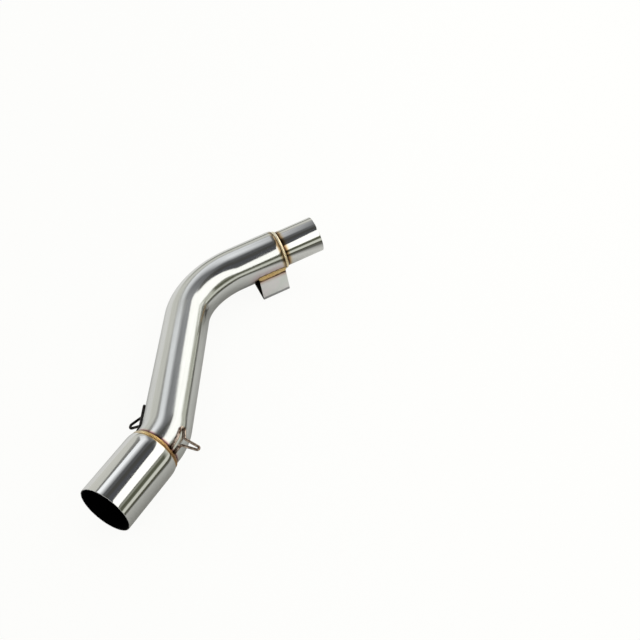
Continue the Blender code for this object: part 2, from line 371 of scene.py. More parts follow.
def steelFinish(name, base, rough, streak, ringHaze, farHaze=None, bracketHaze=None, hookSootAndShadow=None):
    material, shade, shader = newMaterial(name)
    straight = attribute(shade, "straight", True)
    inner = attribute(shade, "inner")
    drawn = stretched(shade, straight, (1, 1, steel["lineStretch"]))
    lines = grain(shade, drawn, steel["lineScale"], 3)
    cloud = grain(shade, straight, steel["cloudScale"], 3)
    wander = grain(shade, straight, steel["wanderScale"], 2)
    colour = lines.between(*grainSpan).mix(rgb(*[c * (1 - streak) for c in base]), rgb(*base))
    distance = axes(shade, straight)[2]
    along = distance.between(rough["from"], rough["to"], rough["start"], rough["end"])
    if bracketHaze:
        colour = haze(attribute(shade, "bracketNear"), wander, *bracketHaze, colour)
    # weld soot with painted contact shadow round the hook feet
    if hookSootAndShadow:
        colour = haze(attribute(shade, "hookNear"), wander, *hookSootAndShadow, colour)
    ringNear = attribute(shade, "ringNear")
    tinted = haze(ringNear, wander, *ringHaze, colour)
    if farHaze:
        farEnd = distance.between(*steel["farEnd"])
        tinted = farEnd.mix(tinted, haze(ringNear, wander, *farHaze, colour))
    # painted shade: the inner faces take the near-black inside colour
    colour = inner.mix(tinted, rgb(*steel["inside"]))
    roughness = (along * lines.between(*grainSpan, *steel["lineRough"])
                 + cloud.between(*steel["cloudSpan"], 0, steel["cloudRough"]))
    plug(shade, shader, "Base Color", colour)
    plug(shade, shader, "Roughness", roughness + inner * steel["insideRough"])
    plug(shade, shader, "Metallic", 1.0)
    bump = shade.node("Bump", {}, {**steel["bump"], "Height": lines})
    plug(shade, shader, "Normal", bump)
    return material


# each haze: its reach from the weld in millimetres, then its colours along that reach
maroonHaze = (3.6, [(0.0, (0.05, 0.02, 0.015)), (0.20, (0.17, 0.07, 0.06)), (0.42, (0.42, 0.29, 0.29)),
                    (0.68, (0.60, 0.53, 0.44)), (1.0, (0.61, 0.60, 0.56))])
oliveHaze = (5.5, [(0.0, (0.04, 0.025, 0.01)), (0.25, (0.17, 0.11, 0.05)), (0.50, (0.40, 0.31, 0.19)),
                   (0.75, (0.58, 0.52, 0.42)), (1.0, (0.61, 0.60, 0.56))])
# amber heat tint; its dark start beside the spigot weld is painted shade in the crease
amberTintAndCreaseShade = (6.5, [(0.0, (0.04, 0.02, 0.01)), (0.20, (0.12, 0.06, 0.025)), (0.36, (0.38, 0.25, 0.12)),
                   (0.60, (0.58, 0.49, 0.34)), (1.0, (0.63, 0.61, 0.56))])
goldHaze = (2.0, [(0.0, (0.10, 0.05, 0.02)), (0.35, (0.45, 0.30, 0.12)), (1.0, (0.62, 0.57, 0.45))])
roseHaze = (14.0, [(0.18, (0.14, 0.07, 0.04)), (0.26, (0.40, 0.29, 0.22)), (0.34, (0.55, 0.47, 0.47)),
                   (0.75, (0.60, 0.55, 0.55)), (1.0, (0.61, 0.60, 0.58))])
# round the hook feet: partly weld soot, partly painted contact shadow
footSootAndShadow = (3.4, [(0.0, (0.03, 0.02, 0.012)), (0.35, (0.10, 0.06, 0.035)), (0.60, (0.36, 0.27, 0.20)),
                  (1.0, (0.60, 0.57, 0.52))])

brushedSteel = steelFinish(
    "brushedSteel", steel["brushed"], {"from": 0.12, "to": 0.33, "start": 0.16, "end": 0.11},
    0.08, maroonHaze, oliveHaze, roseHaze, footSootAndShadow)
sleeveSteel = steelFinish(
    "sleeveSteel", steel["polished"], {"from": 0.0, "to": 0.06, "start": 0.08, "end": 0.08},
    0.05, goldHaze)
spigotSteel = steelFinish(
    "spigotSteel", steel["polished"], {"from": 0.38, "to": 0.42, "start": 0.07, "end": 0.07},
    0.05, amberTintAndCreaseShade)


beadSkin = {
    "patchScale": 90, "patchShare": 0.5, "fineScale": 700, "fineShare": 0.2,
    "valley": (-1.0, 0.4), "valleyDark": 0.30, "rim": (0.74, 0.94), "rough": (0.16, 0.34),
}


def beadFinish(name, edge, *tones):
    # the tones run round the pipe from its left to its right side
    material, shade, shader = newMaterial(name)
    across = attribute(shade, "across")
    run = attribute(shade, "ripple")
    spot = shade.node("TexCoord", {}, {}, 3)
    patch = grain(shade, spot, beadSkin["patchScale"], 3)
    fine = grain(shade, spot, beadSkin["fineScale"], 2)
    colour = (attribute(shade, "tone") + (patch - 0.5) * beadSkin["patchShare"]).ramp(*tones)
    valley = run.between(*beadSkin["valley"], beadSkin["valleyDark"], 0.0)
    colour = valley.mix(colour, rgb(*edge))
    rim = (across + (fine - 0.5) * beadSkin["fineShare"]).between(*beadSkin["rim"])
    colour = rim.mix(colour, rgb(*edge))
    plug(shade, shader, "Base Color", colour)
    plug(shade, shader, "Roughness", fine.between(*grainSpan, *beadSkin["rough"]))
    plug(shade, shader, "Metallic", 1.0)
    return material


goldBead = beadFinish(
    "goldBead", (0.07, 0.03, 0.015), (0.05, (0.58, 0.56, 0.50)), (0.28, (0.66, 0.57, 0.40)),
    (0.50, (0.84, 0.62, 0.30)), (0.68, (0.80, 0.53, 0.20)), (0.88, (0.50, 0.28, 0.11)),
    (1.0, (0.36, 0.21, 0.10)))
creamBead = beadFinish(
    "creamBead", (0.10, 0.05, 0.02), (0.1, (0.90, 0.84, 0.68)), (0.6, (0.96, 0.89, 0.68)),
    (1.0, (0.90, 0.74, 0.46)))


sheetSkin = {
    "cloudScale": 55, "cloudSpan": (0.35, 0.65), "fineScale": 900, "rough": (0.34, 0.48),
    "cool": (0.78, 0.82, 0.78), "warm": (0.86, 0.82, 0.83), "inside": (0.015, 0.013, 0.01),
    "hazeFrom": 3.6, "hazeWander": 3.0, "hazeReach": 6.0, "hazeFadesFrom": 0.4,
    "haze": [(0.0, (0.05, 0.03, 0.02)), (0.06, (0.15, 0.08, 0.05)), (0.16, (0.48, 0.34, 0.27)),
             (0.34, (0.72, 0.62, 0.57)), (0.8, (0.78, 0.76, 0.74))],
    "foldFrom": 23.3, "foldTo": 24.3, "foldShade": 0.7, "foldColour": (0.20, 0.20, 0.21),
    "bump": {"Strength": 0.12, "Distance": 0.0002},
}


def sheetFinish(name):
    # burnt under the bead, with painted shade where the sheet turns over its fold and painted shade,
    # near black, on its inner faces
    material, shade, shader = newMaterial(name)
    spot = shade.node("TexCoord", {}, {}, 3)
    near = attribute(shade, "bracketNear")
    cloud = grain(shade, spot, sheetSkin["cloudScale"], 3)
    fine = grain(shade, spot, sheetSkin["fineScale"], 2)
    base = cloud.between(*sheetSkin["cloudSpan"]).mix(rgb(*sheetSkin["cool"]), rgb(*sheetSkin["warm"]))
    reach = ((near - sheetSkin["hazeFrom"] + (cloud - 0.5) * sheetSkin["hazeWander"])
             * (1 / sheetSkin["hazeReach"]))
    burnt = reach.between(sheetSkin["hazeFadesFrom"], 1.0, 1.0, 0.0)
    colour = burnt.mix(base, reach.ramp(*sheetSkin["haze"]))
    # painted shade along the fold
    fold = near.between(sheetSkin["foldFrom"], sheetSkin["foldTo"], 0.0, sheetSkin["foldShade"])
    colour = fold.mix(colour, rgb(*sheetSkin["foldColour"]))
    # painted shade: the inner faces near black
    colour = attribute(shade, "inner").mix(colour, rgb(*sheetSkin["inside"]))
    plug(shade, shader, "Base Color", colour)
    plug(shade, shader, "Roughness", fine.between(*grainSpan, *sheetSkin["rough"]))
    plug(shade, shader, "Metallic", 1.0)
    bump = shade.node("Bump", {}, {**sheetSkin["bump"], "Height": fine})
    plug(shade, shader, "Normal", bump)
    return material


wireSkin = {
    "patchScale": 240, "patchSpan": (0.40, 0.54), "fineScale": 1500, "rough": (0.12, 0.24),
    "burntReach": (1.5, 4.0), "burnt": (0.05, 0.03, 0.02),
}


def wireFinish(name, light, dark):
    # blotchy wire, burnt at its welded feet
    material, shade, shader = newMaterial(name)
    spot = shade.node("TexCoord", {}, {}, 3)
    patch = grain(shade, spot, wireSkin["patchScale"], 2)
    fine = grain(shade, spot, wireSkin["fineScale"], 2)
    colour = patch.between(*wireSkin["patchSpan"]).mix(rgb(*dark), rgb(*light))
    burnt = attribute(shade, "hookNear").between(*wireSkin["burntReach"], 1.0, 0.0)
    colour = burnt.mix(colour, rgb(*wireSkin["burnt"]))
    plug(shade, shader, "Base Color", colour)
    plug(shade, shader, "Roughness", fine.between(*grainSpan, *wireSkin["rough"]))
    plug(shade, shader, "Metallic", 1.0)
    return material


satinSheet = sheetFinish("satinSheet")
copperyWire = wireFinish("copperyWire", (0.62, 0.50, 0.41), (0.12, 0.07, 0.045))
# the left hook is the same wire as the right one, painted near black: painted shade for the dark it
# reflects
shadedWire = wireFinish("shadedWire", (0.045, 0.04, 0.038), (0.015, 0.013, 0.012))

print("finishes made")


# Welds and bracket: their sizes and places

sink = 0.0004
sleeveWeld = {
    "start": pipe["sleeveLength"] - sink, "width": 0.0042, "height": 0.0018,
    "seat": pipe["tubeRadius"] - sink, "pitch": 0.00115, "rippleSteps": 6, "arcSteps": 18,
    "ripple": 0.06, "alongRipple": 0.024, "wobble": 0.12, "wobbleScale": 6, "lean": 0.8,
}
spigotWeld = {
    "start": tubeEnd - sink - 0.0001, "width": 0.0040, "height": 0.0019,
    "seat": pipe["spigotRadius"] - sink, "pitch": 0.00105, "rippleSteps": 6, "arcSteps": 18,
    "ripple": 0.06, "alongRipple": 0.024, "wobble": 0.06, "wobbleScale": 6, "lean": 0.8,
}
leafWeld = {
    "width": 0.0034, "overrun": 0.0008, "taper": 0.002, "endSize": 0.35,
    "pitch": 0.0009, "rippleSteps": 6, "arcSteps": 12, "bulge": 0.30, "ripple": 0.05,
    "wobble": 0.22, "wobbleScale": 160, "lean": 0.7, "tone": 0.58,
}
bracket = {
    "length": 0.030, "setback": 0.0022, "slant": 0.004, "angle": math.radians(153),
    "spread": math.radians(68), "reach": 0.042, "sheet": 0.0012, "fold": 0.0012,
    "foldSteps": 12, "edgeRound": 0.00018, "edgeSteps": 3, "sharpFrom": 0.6, "sunk": 0.0001,
    "clearOfTube": 0.0003, "longEdge": 0.004, "cuts": 24, "smoothBelow": math.radians(40),
    "insideBelow": -0.3,
}
bracketStart = tubeEnd - bracket["setback"] - bracket["length"]


def bracketSection():
    # the V across the tube, its leaves tangent to the fold's round
    seat = pipe["tubeRadius"] - bracket["sunk"]
    footRadius = pipe["tubeRadius"] + bracket["clearOfTube"]
    half = footRadius * math.sin(bracket["spread"] / 2)
    foot = math.sqrt(seat ** 2 - half ** 2)
    outerFold = bracket["fold"] + bracket["sheet"]
    foldCentre = bracket["reach"] - outerFold
    nominalFoot = footRadius * math.cos(bracket["spread"] / 2)
    fromFoot = math.hypot(half, foldCentre - nominalFoot)
    halfAngle = math.atan2(half, foldCentre - nominalFoot) - math.asin(outerFold / fromFoot)
    tip = foldCentre + outerFold / math.sin(halfAngle)
    innerHalf = half - bracket["sheet"] / math.cos(halfAngle)
    innerFoot = math.sqrt(seat ** 2 - innerHalf ** 2)
    innerTip = tip - bracket["sheet"] / math.sin(halfAngle)
    return half, foot, tip, innerHalf, innerFoot, innerTip, halfAngle


def bracketCorner(x, y):
    point, way = onRoute(bracketStart)
    out = outward(bracketStart, bracket["angle"])
    half = bracketSection()[0]
    return (point + out.cross(way) * x + out * y
            - way * (bracket["slant"] * (half - x) / (2 * half)))


# Wire hooks

wire = {"diameter": 0.0025, "bend": 0.0028, "legGap": 0.0044, "footSpread": 0.3, "middleSpread": 0.6,
        "footGap": 0.0036, "lift": 0.00005, "bendRoom": 0.48, "bendSteps": 10, "sides": 20}
hooks = {
    "Right": {"side": 1, "angle": math.radians(70), "top": 0.0200, "knee": 0.0155, "root": 0.0110,
              "loop": 0.0033, "rise": 0.0126, "back": 0.0041, "lean": 0.0084,
              "finish": copperyWire, "node": "spring_hook_right"},
    "Left": {"side": -1, "angle": math.radians(-78), "top": 0.053, "knee": 0.0485, "root": 0.036,
             "loop": 0.0046, "rise": 0.0122, "back": 0.0118, "lean": 0.001,
             "finish": shadedWire, "node": "spring_hook_left"},
}


def roundedPath(corners, radius):
    path = [corners[0]]
    for before, corner, after in zip(corners, corners[1:], corners[2:]):
        back = (before - corner).normalized()
        onward = (after - corner).normalized()
        halfTurn = back.angle(onward) / 2
        room = min((before - corner).length, (after - corner).length) * wire["bendRoom"]
        cut = min(radius / math.tan(halfTurn), room)
        centre = corner + (back + onward).normalized() * (cut / math.cos(halfTurn))
        start = corner + back * cut - centre
        axis = start.cross(corner + onward * cut - centre).normalized()
        sweep = math.pi - 2 * halfTurn
        for index in range(wire["bendSteps"] + 1):
            turn = Matrix.Rotation(sweep * index / wire["bendSteps"], 3, axis)
            path.append(centre + turn @ start)
    path.append(corners[-1])
    return path


def hookCorners(hook):
    lift = wire["diameter"] / 2 + wire["lift"]
    side, angle = hook["side"], hook["angle"]
    leg = side * wire["legGap"] / (pipe["tubeRadius"] + lift)
    foot = pipe["sleeveLength"] + wire["footGap"]
    top, knee, root = (pipe["sleeveLength"] + hook[key] for key in ("top", "knee", "root"))
    nearKnee = besideTube(knee, angle + leg, lift)
    sideways = outward(knee, angle + leg + side * math.pi / 2)
    way = onRoute(knee)[1]
    tip = (nearKnee + outward(knee, angle + leg) * hook["rise"] - way * hook["back"]
           + sideways * hook["lean"])
    halfLoop = way * (hook["loop"] / 2)
    return [
        besideTube(foot, angle - leg * wire["footSpread"], lift),
        besideTube((foot + top) / 2, angle - leg * wire["middleSpread"], lift),
        besideTube(top, angle - leg, lift),
        besideTube(top, angle, lift),
        nearKnee, tip + halfLoop, tip - halfLoop,
        besideTube(root, angle + leg, lift),
        besideTube(foot, angle + leg, lift),
    ]


# Marks along the welds, from which the heat tints and some painted shade spread

marks = {"ring": 240, "leafStep": 0.0006, "hookReach": 0.003, "hookStep": 0.0005}


def markRing(distance, radius):
    matrix = ringMatrix(distance, radius)
    for index in range(marks["ring"]):
        turn = math.tau * index / marks["ring"]
        weldSpots["ringNear"].append(matrix @ Vector((math.cos(turn), math.sin(turn), 0)))


def markBracket():
    half, foot = bracketSection()[:2]
    way = onRoute(bracketStart)[1]
    for side in (1, -1):
        corner = bracketCorner(half * side, foot)
        for step in spaced(0, bracket["length"], marks["leafStep"]):
            weldSpots["bracketNear"].append(corner + way * step)


def markHooks():
    for hook in hooks.values():
        corners = hookCorners(hook)
        for foot, after in ((corners[0], corners[1]), (corners[-1], corners[-2])):
            way = (after - foot).normalized()
            for step in spaced(0, marks["hookReach"], marks["hookStep"]):
                weldSpots["hookNear"].append(foot + way * step)


markRing(pipe["sleeveLength"], pipe["lipRadius"])
markRing(sleeveWeld["start"] + sleeveWeld["width"], pipe["tubeRadius"])
markRing(tubeEnd, pipe["neckRadius"])
markRing(spigotWeld["start"] + spigotWeld["width"], pipe["spigotRadius"])
markBracket()
markHooks()


# Hollow round pieces

def makeSleeve():
    length, radius = pipe["sleeveLength"], pipe["sleeveRadius"]
    body = [(d, radius) for d in spaced(0, length - pipe["shoulder"], pipe["stationStep"])]
    shoulder = quarter(length - pipe["shoulder"], length, radius, pipe["lipRadius"],
                       pipe["shoulderSteps"])
    bm = drawnShell(body[:-1] + shoulder, pipe["sleeveWall"])
    markHeat(bm)
    return finish("outletSleeve", bm, sleeveSteel, "outlet_sleeve")


def makeTube():
    start = pipe["sleeveLength"] - pipe["tubeInsert"]
    neckStart = tubeEnd - pipe["neck"]
    body = [(d, pipe["tubeRadius"]) for d in spaced(start, neckStart, pipe["stationStep"])]
    neck = quarter(neckStart, tubeEnd, pipe["tubeRadius"], pipe["neckRadius"], pipe["neckSteps"])
    bm = drawnShell(body[:-1] + neck, pipe["tubeWall"])
    markHeat(bm)
    return finish("mainTube", bm, brushedSteel, "main_tube")


def makeSpigot():
    start = tubeEnd - pipe["spigotInsert"]
    body = [(d, pipe["spigotRadius"]) for d in spaced(start, pipeEnd, pipe["spigotStep"])]
    bm = drawnShell(body, pipe["spigotWall"])
    markHeat(bm)
    return finish("inletSpigot", bm, spigotSteel, "inlet_spigot")


makeSleeve()
makeTube()
makeSpigot()
print("tube, sleeve and spigot drawn")


# Weld beads

crescentFront = 0.7


def rippled(run, across, weld):
    # overlapping crescents: a steep front and a long back, bowed by their lean
    phase = run / weld["pitch"] + weld["lean"] * across ** 2
    part = phase - math.floor(phase)
    return math.sin(math.pi * part ** crescentFront) * 2 - 1


def makeRingBead(name, weld, material, node):
    bm = bmesh.new()
    acrossLayer = bm.verts.layers.float.new("across")
    rippleLayer = bm.verts.layers.float.new("ripple")
    toneLayer = bm.verts.layers.float.new("tone")
    matrix = ringMatrix(weld["start"])
    steps = weld["arcSteps"]
    verts = []
    for index in range(steps + 1):
        turn = math.pi * index / steps
        along = weld["width"] / 2 * (1 - math.cos(turn))
        rise = weld["height"] * math.sin(turn)
        verts.append(bm.verts.new(matrix @ Vector((weld["seat"] + rise, 0, -along))))
    edges = [bm.edges.new(pair) for pair in zip(verts, verts[1:] + verts[:1])]
    axis = matrix.to_3x3() @ Vector((0, 0, 1))
    ripples = round(math.tau * weld["seat"] / weld["pitch"])
    bmesh.ops.spin(bm, geom=verts + edges, cent=matrix.translation, axis=axis, angle=math.tau,
                   steps=ripples * weld["rippleSteps"], use_merge=True)
    flat = matrix.inverted()
    for vert in bm.verts:
        spot = flat @ vert.co
        turn = math.atan2(spot.y, spot.x) % math.tau
        rise = math.hypot(spot.x, spot.y) - weld["seat"]
        along = -spot.z - weld["width"] / 2
        across = along / (weld["width"] / 2)
        run = turn / math.tau * ripples * weld["pitch"]
        ripple = rippled(run, across, weld)
        way = Vector((math.cos(turn), math.sin(turn), 0))
        slow = noise.noise(way * weld["wobbleScale"]) * weld["wobble"]
        rise = rise * (1 + weld["ripple"] * ripple + slow) if rise > 1e-6 else rise
        along = along * (1 + weld["alongRipple"] * ripple + slow)
        radius = weld["seat"] + rise
        vert.co = matrix @ Vector((radius * math.cos(turn), radius * math.sin(turn),
                                   -along - weld["width"] / 2))
        vert[acrossLayer] = abs(across)
        vert[rippleLayer] = ripple
        vert[toneLayer] = 0.5 + 0.5 * math.cos(turn)
    bmesh.ops.recalc_face_normals(bm, faces=bm.faces)
    return finish(name, bm, material, node)


def makeBracketBead(name, side, node):
    half, foot, tip = bracketSection()[:3]
    point, way = onRoute(bracketStart)
    out = outward(bracketStart, bracket["angle"])
    sideways = out.cross(way) * side
    leg = (out * (tip - foot) - sideways * half).normalized()
    skin = (sideways * foot - out * half).normalized()
    corner = bracketCorner(half * side, foot) - (leg + skin) * sink
    width, overrun, arcSteps = leafWeld["width"], leafWeld["overrun"], leafWeld["arcSteps"]
    bm = bmesh.new()
    acrossLayer = bm.verts.layers.float.new("across")
    rippleLayer = bm.verts.layers.float.new("ripple")
    toneLayer = bm.verts.layers.float.new("tone")
    loops = []
    step = leafWeld["pitch"] / leafWeld["rippleSteps"]
    stations = spaced(-overrun, bracket["length"] + overrun, step)
    for distance in stations:
        fromEnd = min(distance - stations[0], stations[-1] - distance)
        taper = min(1.0, fromEnd / leafWeld["taper"])
        size = leafWeld["endSize"] + (1 - leafWeld["endSize"]) * math.sin(math.pi / 2 * taper)
        # each side drifts in its own way
        drift = Vector((distance * leafWeld["wobbleScale"], side * 3, 0.5))
        slow = noise.noise(drift) * leafWeld["wobble"]
        verts = [bm.verts.new(corner + way * distance)]
        for index in range(arcSteps + 1):
            part = index / arcSteps
            across = part * 2 - 1
            ripple = rippled(distance, across, leafWeld)
            height = width * (leafWeld["bulge"] + leafWeld["ripple"] * ripple)
            bulge = (leg + skin).normalized() * (height * 4 * part * (1 - part))
            offset = leg * (width * (1 - part)) + skin * (width * part) + bulge
            vert = bm.verts.new(corner + way * distance + offset * size * (1 + slow))
            vert[acrossLayer] = abs(across)
            vert[rippleLayer] = ripple
            vert[toneLayer] = leafWeld["tone"]
            verts.append(vert)
        loops.append([bm.edges.new(pair) for pair in zip(verts, verts[1:] + verts[:1])])
        if distance in (stations[0], stations[-1]):
            bm.faces.new(verts)
    for first, second in zip(loops, loops[1:]):
        bmesh.ops.bridge_loops(bm, edges=first + second)
    bmesh.ops.recalc_face_normals(bm, faces=bm.faces)
    return finish(name, bm, goldBead, node)


makeRingBead("sleeveWeldBead", sleeveWeld, goldBead, "sleeve_weld_bead")
makeRingBead("spigotWeldBead", spigotWeld, creamBead, "spigot_weld_bead")
makeBracketBead("bracketWeldFront", 1, "bracket_weld_front")
makeBracketBead("bracketWeldBack", -1, "bracket_weld_back")
print("weld beads run")


# Hanger bracket

def makeBracket():
    half, foot, tip, innerHalf, innerFoot, innerTip, halfAngle = bracketSection()
    way = onRoute(bracketStart)[1]
    corners = [(half, foot), (0, tip), (-half, foot),
               (-innerHalf, innerFoot), (0, innerTip), (innerHalf, innerFoot)]
    bm = bmesh.new()
    face = bm.faces.new([bm.verts.new(bracketCorner(x, y)) for x, y in corners])
    made = bmesh.ops.extrude_face_region(bm, geom=[face])
    bmesh.ops.translate(bm, verts=newVerts(made), vec=way * bracket["length"])
    for height, radius in ((innerTip, bracket["fold"]), (tip, bracket["fold"] + bracket["sheet"])):
        spot = bracketCorner(0, height)
        fold = [edge for edge in bm.edges
                if all((vert.co - spot).cross(way).length < 1e-5 for vert in edge.verts)]
        bmesh.ops.bevel(bm, geom=fold, offset=radius / math.tan(halfAngle), profile=0.5,
                        segments=bracket["foldSteps"], affect="EDGES", material=-1)
    bmesh.ops.recalc_face_normals(bm, faces=bm.faces)
    sharp = [edge for edge in bm.edges
             if edge.is_manifold and edge.calc_face_angle() > bracket["sharpFrom"]]
    bmesh.ops.bevel(bm, geom=sharp, offset=bracket["edgeRound"], segments=bracket["edgeSteps"],
                    profile=0.5, affect="EDGES", material=-1)
    long = [edge for edge in bm.edges if edge.calc_length() > bracket["longEdge"]]
    bmesh.ops.subdivide_edges(bm, edges=long, cuts=bracket["cuts"], use_grid_fill=True)
    markHeat(bm)
    # inner faces, which the sheet's finish paints near black as painted shade
    inner = bm.verts.layers.float.new("inner")
    out = outward(bracketStart, bracket["angle"])
    sideways = out.cross(way)
    bm.normal_update()
    for vert in bm.verts:
        side = math.copysign(1, (vert.co - onRoute(bracketStart)[0]).dot(sideways))
        leafWay = sideways * (side * math.cos(halfAngle)) + out * math.sin(halfAngle)
        vert[inner] = 1.0 if vert.normal.dot(leafWay) < bracket["insideBelow"] else 0.0
    piece = finish("hangerBracket", bm, satinSheet, "hanger_bracket")
    piece.data.set_sharp_from_angle(angle=bracket["smoothBelow"])
    return piece


makeBracket()
print("bracket folded")


# Spring hooks drawn as wire

def makeHook(name, hook):
    path = roundedPath(hookCorners(hook), wire["bend"])
    curve = bpy.data.curves.new(name, "CURVE")
    curve.dimensions = "3D"
    curve.bevel_depth = wire["diameter"] / 2
    curve.bevel_resolution = (wire["sides"] - 4) // 2
    curve.use_fill_caps = True
    spline = curve.splines.new("POLY")
    spline.points.add(len(path) - 1)
    for spot, point in zip(spline.points, path):
        spot.co = (*point, 1)
    drawn = bpy.data.objects.new(name, curve)
    bpy.context.scene.collection.objects.link(drawn)
    graph = bpy.context.evaluated_depsgraph_get()
    bm = bmesh.new()
    mesh = drawn.evaluated_get(graph).to_mesh()
    bm.from_mesh(mesh)
    bpy.data.objects.remove(drawn)
    bmesh.ops.remove_doubles(bm, verts=bm.verts, dist=1e-6)
    markHeat(bm)
    return finish("springHook" + name, bm, hook["finish"], hook["node"])


for name, hook in hooks.items():
    makeHook(name, hook)
print("hooks bent")


# Floor, studio light and camera. Places are in metres from the middle of the part, on the
# floor. A pair says where a change starts and ends, or the tones at its two ends.

# the shines, strip, footDark and dark colour are painted light and shade that the camera doesn't see;
# cameraShadow is a painted contact shadow
floor = {
    "size": 12.0, "colour": (0.74, 0.74, 0.72), "rough": 0.9, "glow": (1, 1, 0.985),
    "cameraWhite": 0.965, "cameraShadow": 0.04, "shadowReach": 0.10,
    "sides": (-0.12, -0.02), "leftSpan": (-0.10, 0.20), "leftShine": (0.78, 0.95),
    "rightSpan": (-0.10, 0.15), "rightShine": (0.06, 0.45), "stripSlope": 0.4, "strip": (0.13, 0.19),
    "stripDark": 0.9, "footDark": 0.6, "darkColour": (1, 1, 0.8), "darkGlow": 0.08,
}
studio = {
    "rightWay": (0.91, 0.41),
    "rightHeight": 0.40,
    "rightPanel": [(0.43, -0.50), (0.22, -0.068), (0.165, 0.048), (0.145, 0.098), (0.02, 0.37),
                   (-0.08, 0.39), (-0.16, 0.50), (-0.45, 1.36), (0.27, 1.36), (0.60, 0.90),
                   (0.62, 0.60), (0.57, 0.05), (0.76, -0.50)],
    "rightGlow": 1.7, "rightColour": (1.0, 1.0, 0.975),
    "leftHeight": 0.80,
    "leftPanel": [(0.15, -0.60), (0.15, 1.50), (-0.62, 1.50), (-0.80, 0.98), (-1.25, 0.95),
                  (-1.66, 0.92), (-1.70, 0.76), (-1.52, 0.58), (-1.20, 0.40), (-0.84, 0.17),
                  (-0.80, 0.05), (-0.80, -0.60)],
    "leftColour": (0.94, 0.96, 1.0), "leftFade": (-0.15, -0.42), "shiftSpan": (0.30, 0.80),
    "leftShift": 0.52, "lowSpan": (0.15, 0.85), "leftLow": (0.09, 0.38), "levelSpan": (0.1, 0.5),
    "leftGlow": 1.50, "leftFar": 0.767, "leftFrame": 0.17, "frameColour": (1, 1, 0.95),
    "frameFade": (-0.1, -0.4), "frameFaint": 0.35, "frameSpan": (0.2, 0.8), "frameTone": (0.26, 0.55),
    "cardLine": [(0.335, -0.30), (0.098, 0.675)], "cardHeight": 0.072, "cardEdge": (0.026, 0.036),
    "cardFoot": (0.10, 0.10, 0.07), "cardTop": (0.88, 0.89, 0.80),
}
sky = {
    "sides": (-0.12, 0.12),
    "left": [(0.0, (0.84, 0.84, 0.79)), (0.62, (0.80, 0.80, 0.75)), (0.70, (0.30, 0.30, 0.30)),
             (0.85, (0.12, 0.125, 0.14)), (1.0, (0.10, 0.105, 0.12))],
    "right": [(0.0, (0.80, 0.81, 0.72)), (0.14, (0.85, 0.86, 0.77)), (0.19, (0.15, 0.155, 0.11)),
              (0.34, (0.12, 0.125, 0.085)), (0.44, (0.42, 0.43, 0.36)), (0.56, (0.14, 0.14, 0.14)),
              (1.0, (0.10, 0.105, 0.12))],
    "forward": [(0.0, (0.80, 0.80, 0.72)), (0.06, (0.50, 0.51, 0.42)), (0.20, (0.70, 0.71, 0.62)),
                (0.40, (0.66, 0.67, 0.62)), (0.52, (0.38, 0.385, 0.38)), (1.0, (0.36, 0.365, 0.36))],
    "forwardSpan": (0.42, 0.62), "gapHeight": (0.16, 0.20), "gapSpan": (0.46, 0.60),
    "gap": (0.27, 0.28, 0.24), "topHeight": (0.50, 0.60), "topSpan": (0.36, 0.56),
    "top": (0.38, 0.385, 0.38),
}
# the camera's place and turn in the pipe's own frame, fitted to the pipe's edges in the photo
viewpoint = {
    "place": (0.54067, -0.27935, 0.59861), "right": (0.83586, 0.50238, -0.22127),
    "down": (0.19217, -0.64536, -0.73931), "focal": 984.0528, "frame": 640, "sensor": 36.0,
    "near": 0.01, "far": 50,
}


def stageMesh(name, bm, material):
    piece = newPiece(name, bm, material)
    return piece


def rightward(x, y):
    return x * studio["rightWay"][0] + y * studio["rightWay"][1]


def setSurface(shade, surface):
    shade.tree.links.new(surface.socket, shade.tree.nodes["Material Output"].inputs["Surface"])


def glowMaterial(name):
    material, shade, shader = newMaterial(name)
    shade.tree.nodes.remove(shader)
    return material, shade, axes(shade, shade.node("TexCoord", {}, {}, 3))


def setGlow(shade, colour, strength):
    setSurface(shade, shade.node("Emission", {}, {"Color": colour, "Strength": strength}))


